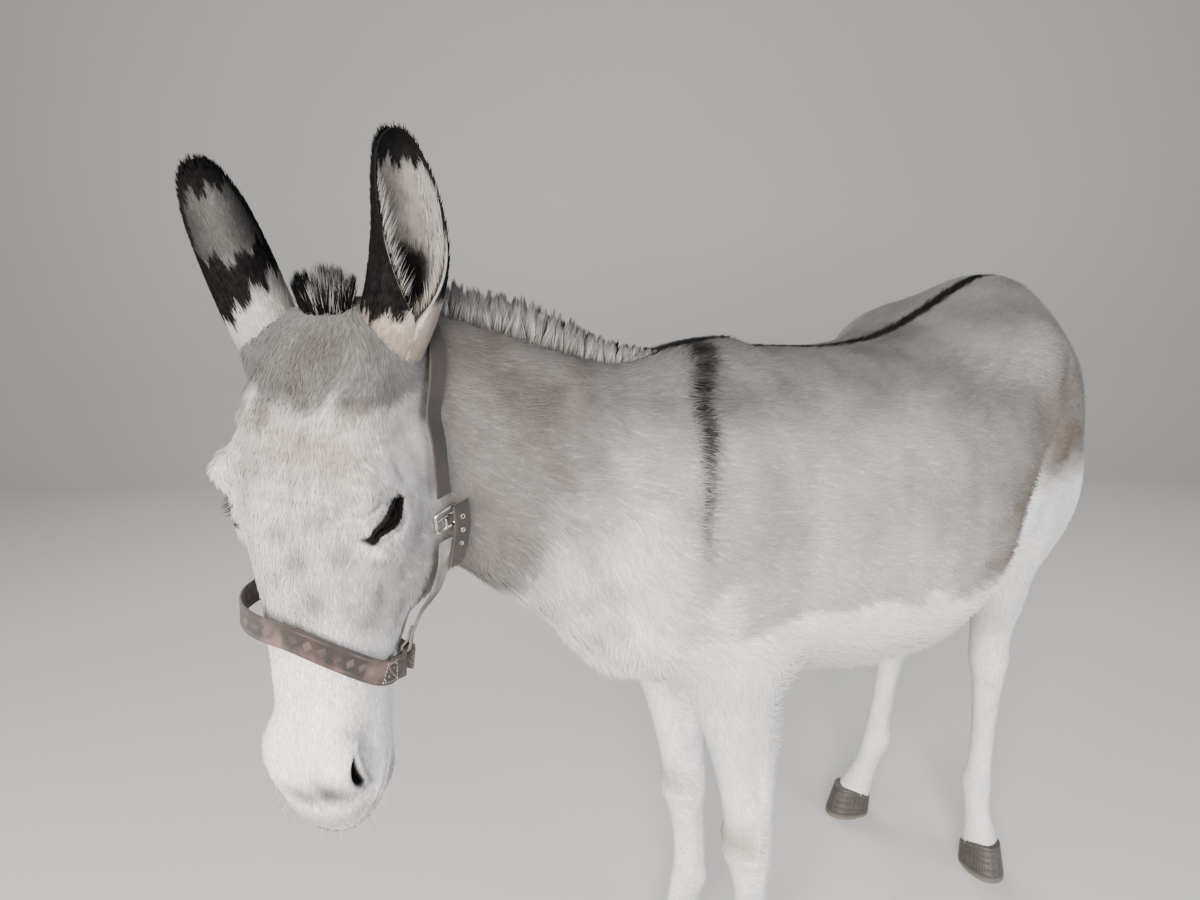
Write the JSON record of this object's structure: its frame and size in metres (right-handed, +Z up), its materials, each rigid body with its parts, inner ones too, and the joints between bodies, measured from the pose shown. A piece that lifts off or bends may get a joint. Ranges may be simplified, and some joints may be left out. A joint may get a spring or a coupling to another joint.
{
  "type": "donkey",
  "caption": "Life-size standing donkey as a still model: stocky grey-and-white body, head lowered and turned to its left, long upright ears, tufted tail, webbing headcollar without a lead",
  "frame": {"origin": "on the floor, in the middle of the box that the whole animal fills", "axes": "+X along the back towards the chest, +Y to the animal's left, +Z up"},
  "size_m": [1.4802, 0.4798, 1.2701],
  "materials": {
    "coat_grey": "short matte hair, grey-taupe",
    "coat_white": "short matte hair, off-white",
    "hair_dark": "coarse long hair, dark brown-grey",
    "horn": "dull dark hoof horn with fine upright streaks",
    "eye": "wet and glossy, dark brown",
    "webbing": "worn woven webbing",
    "steel": "dull, lightly scratched"
  },
  "bodies": {
    "root": {"trunk": "coat_grey", "neck": "coat_grey", "head": "coat_white", "foreleg_left": "coat_white", "foreleg_right": "coat_white", "hindleg_left": "coat_white", "hindleg_right": "coat_white", "forehoof_left": "horn", "forehoof_right": "horn", "hindhoof_left": "horn", "hindhoof_right": "horn", "ear_left": "coat_white", "ear_right": "coat_white", "eye_left": "eye", "eye_right": "eye", "mane": "hair_dark", "forelock": "hair_dark", "tail": "coat_grey", "tail_switch": "hair_dark", "noseband": "webbing", "chin_strap": "webbing", "headpiece": "webbing", "strap_end": "webbing", "cheek_strap_left": "webbing", "cheek_strap_right": "webbing", "buckle": "steel", "ring_left": "steel", "ring_right": "steel"}
  },
  "joints": []
}
